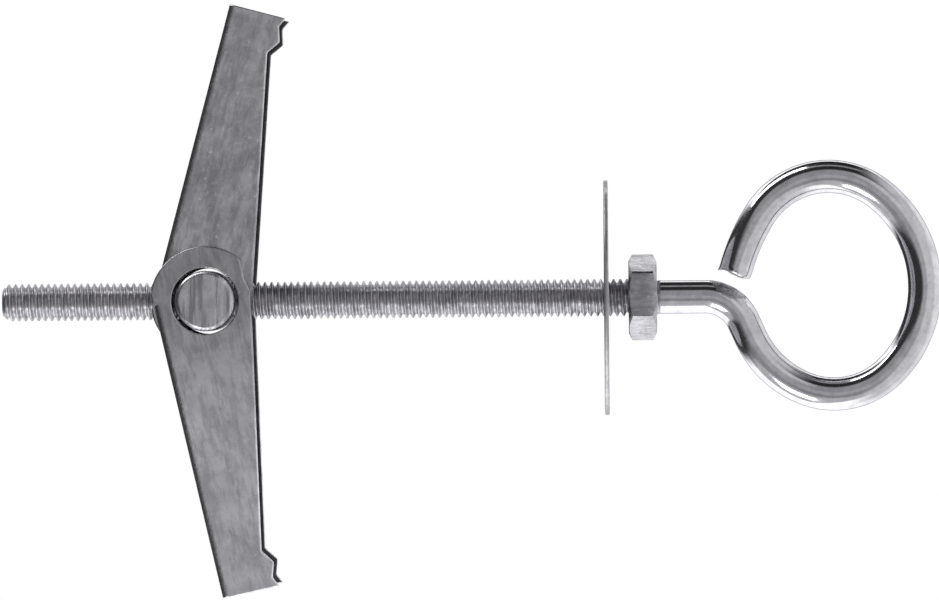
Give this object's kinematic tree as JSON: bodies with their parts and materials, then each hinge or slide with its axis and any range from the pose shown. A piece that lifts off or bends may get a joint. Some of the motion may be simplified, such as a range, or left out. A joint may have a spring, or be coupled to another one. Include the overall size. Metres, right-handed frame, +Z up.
{
  "type": "ceiling eye anchor",
  "caption": "Spring toggle anchor for a hollow ceiling: folding wings on a threaded bolt with a bent eye, a locking nut and a cover washer.",
  "frame": {"origin": "on the bolt's axis at the cover washer's upper face, where it lies against the ceiling", "axes": "+Z up along the bolt, from the eye to the toggle; X across the open wings; Y along the wings' pivot"},
  "size_m": [0.0629, 0.025, 0.0999],
  "materials": {
    "bolt_zinc": "bright zinc plating",
    "nut_zinc": "bright zinc plating",
    "washer_zinc": "zinc plated sheet",
    "trunnion_zinc": "zinc plated, sawn ends",
    "wing_zinc": "matte zinc plated sheet",
    "spring_steel": "zinc plated spring wire"
  },
  "bodies": {
    "cover": {"cover_washer": "washer_zinc"},
    "eye": {"eye_bolt": "bolt_zinc"},
    "nut": {"hex_nut": "nut_zinc"},
    "toggle": {"trunnion_nut": "trunnion_zinc", "torsion_spring": "spring_steel"},
    "wing_right": {"wing_right": "wing_zinc"},
    "wing_left": {"wing_left": "wing_zinc"}
  },
  "joints": [
    {"name": "eye_turn", "type": "hinge", "parent": "cover", "child": "eye", "pos_m": [0, 0, 0], "axis": [0, 0, 1], "range_deg": [-9000, 5040]},
    {"name": "toggle_draw", "type": "slide", "parent": "cover", "child": "toggle", "axis": [0, 0, -1], "range_m": [-0.01755, 0.00985]},
    {"name": "nut_travel", "type": "slide", "parent": "eye", "child": "nut", "axis": [0, 0, 1], "range_m": [-0.0003, 0.002]},
    {"name": "wing_right_fold", "type": "hinge", "parent": "toggle", "child": "wing_right", "pos_m": [0, 0, 0.0422], "axis": [0, 1, 0], "range_deg": [0, 74], "stiffness_Nm_per_rad": 0.001, "springref_deg": -68.75, "deforming": ["torsion_spring"]},
    {"name": "wing_left_fold", "type": "hinge", "parent": "toggle", "child": "wing_left", "pos_m": [0, 0, 0.0422], "axis": [0, -1, 0], "range_deg": [0, 77], "stiffness_Nm_per_rad": 0.001, "springref_deg": -68.75}
  ],
  "couplings": [
    {"joint": "toggle_draw", "follows": "eye_turn", "m_per_rad": 0.00011141}
  ]
}
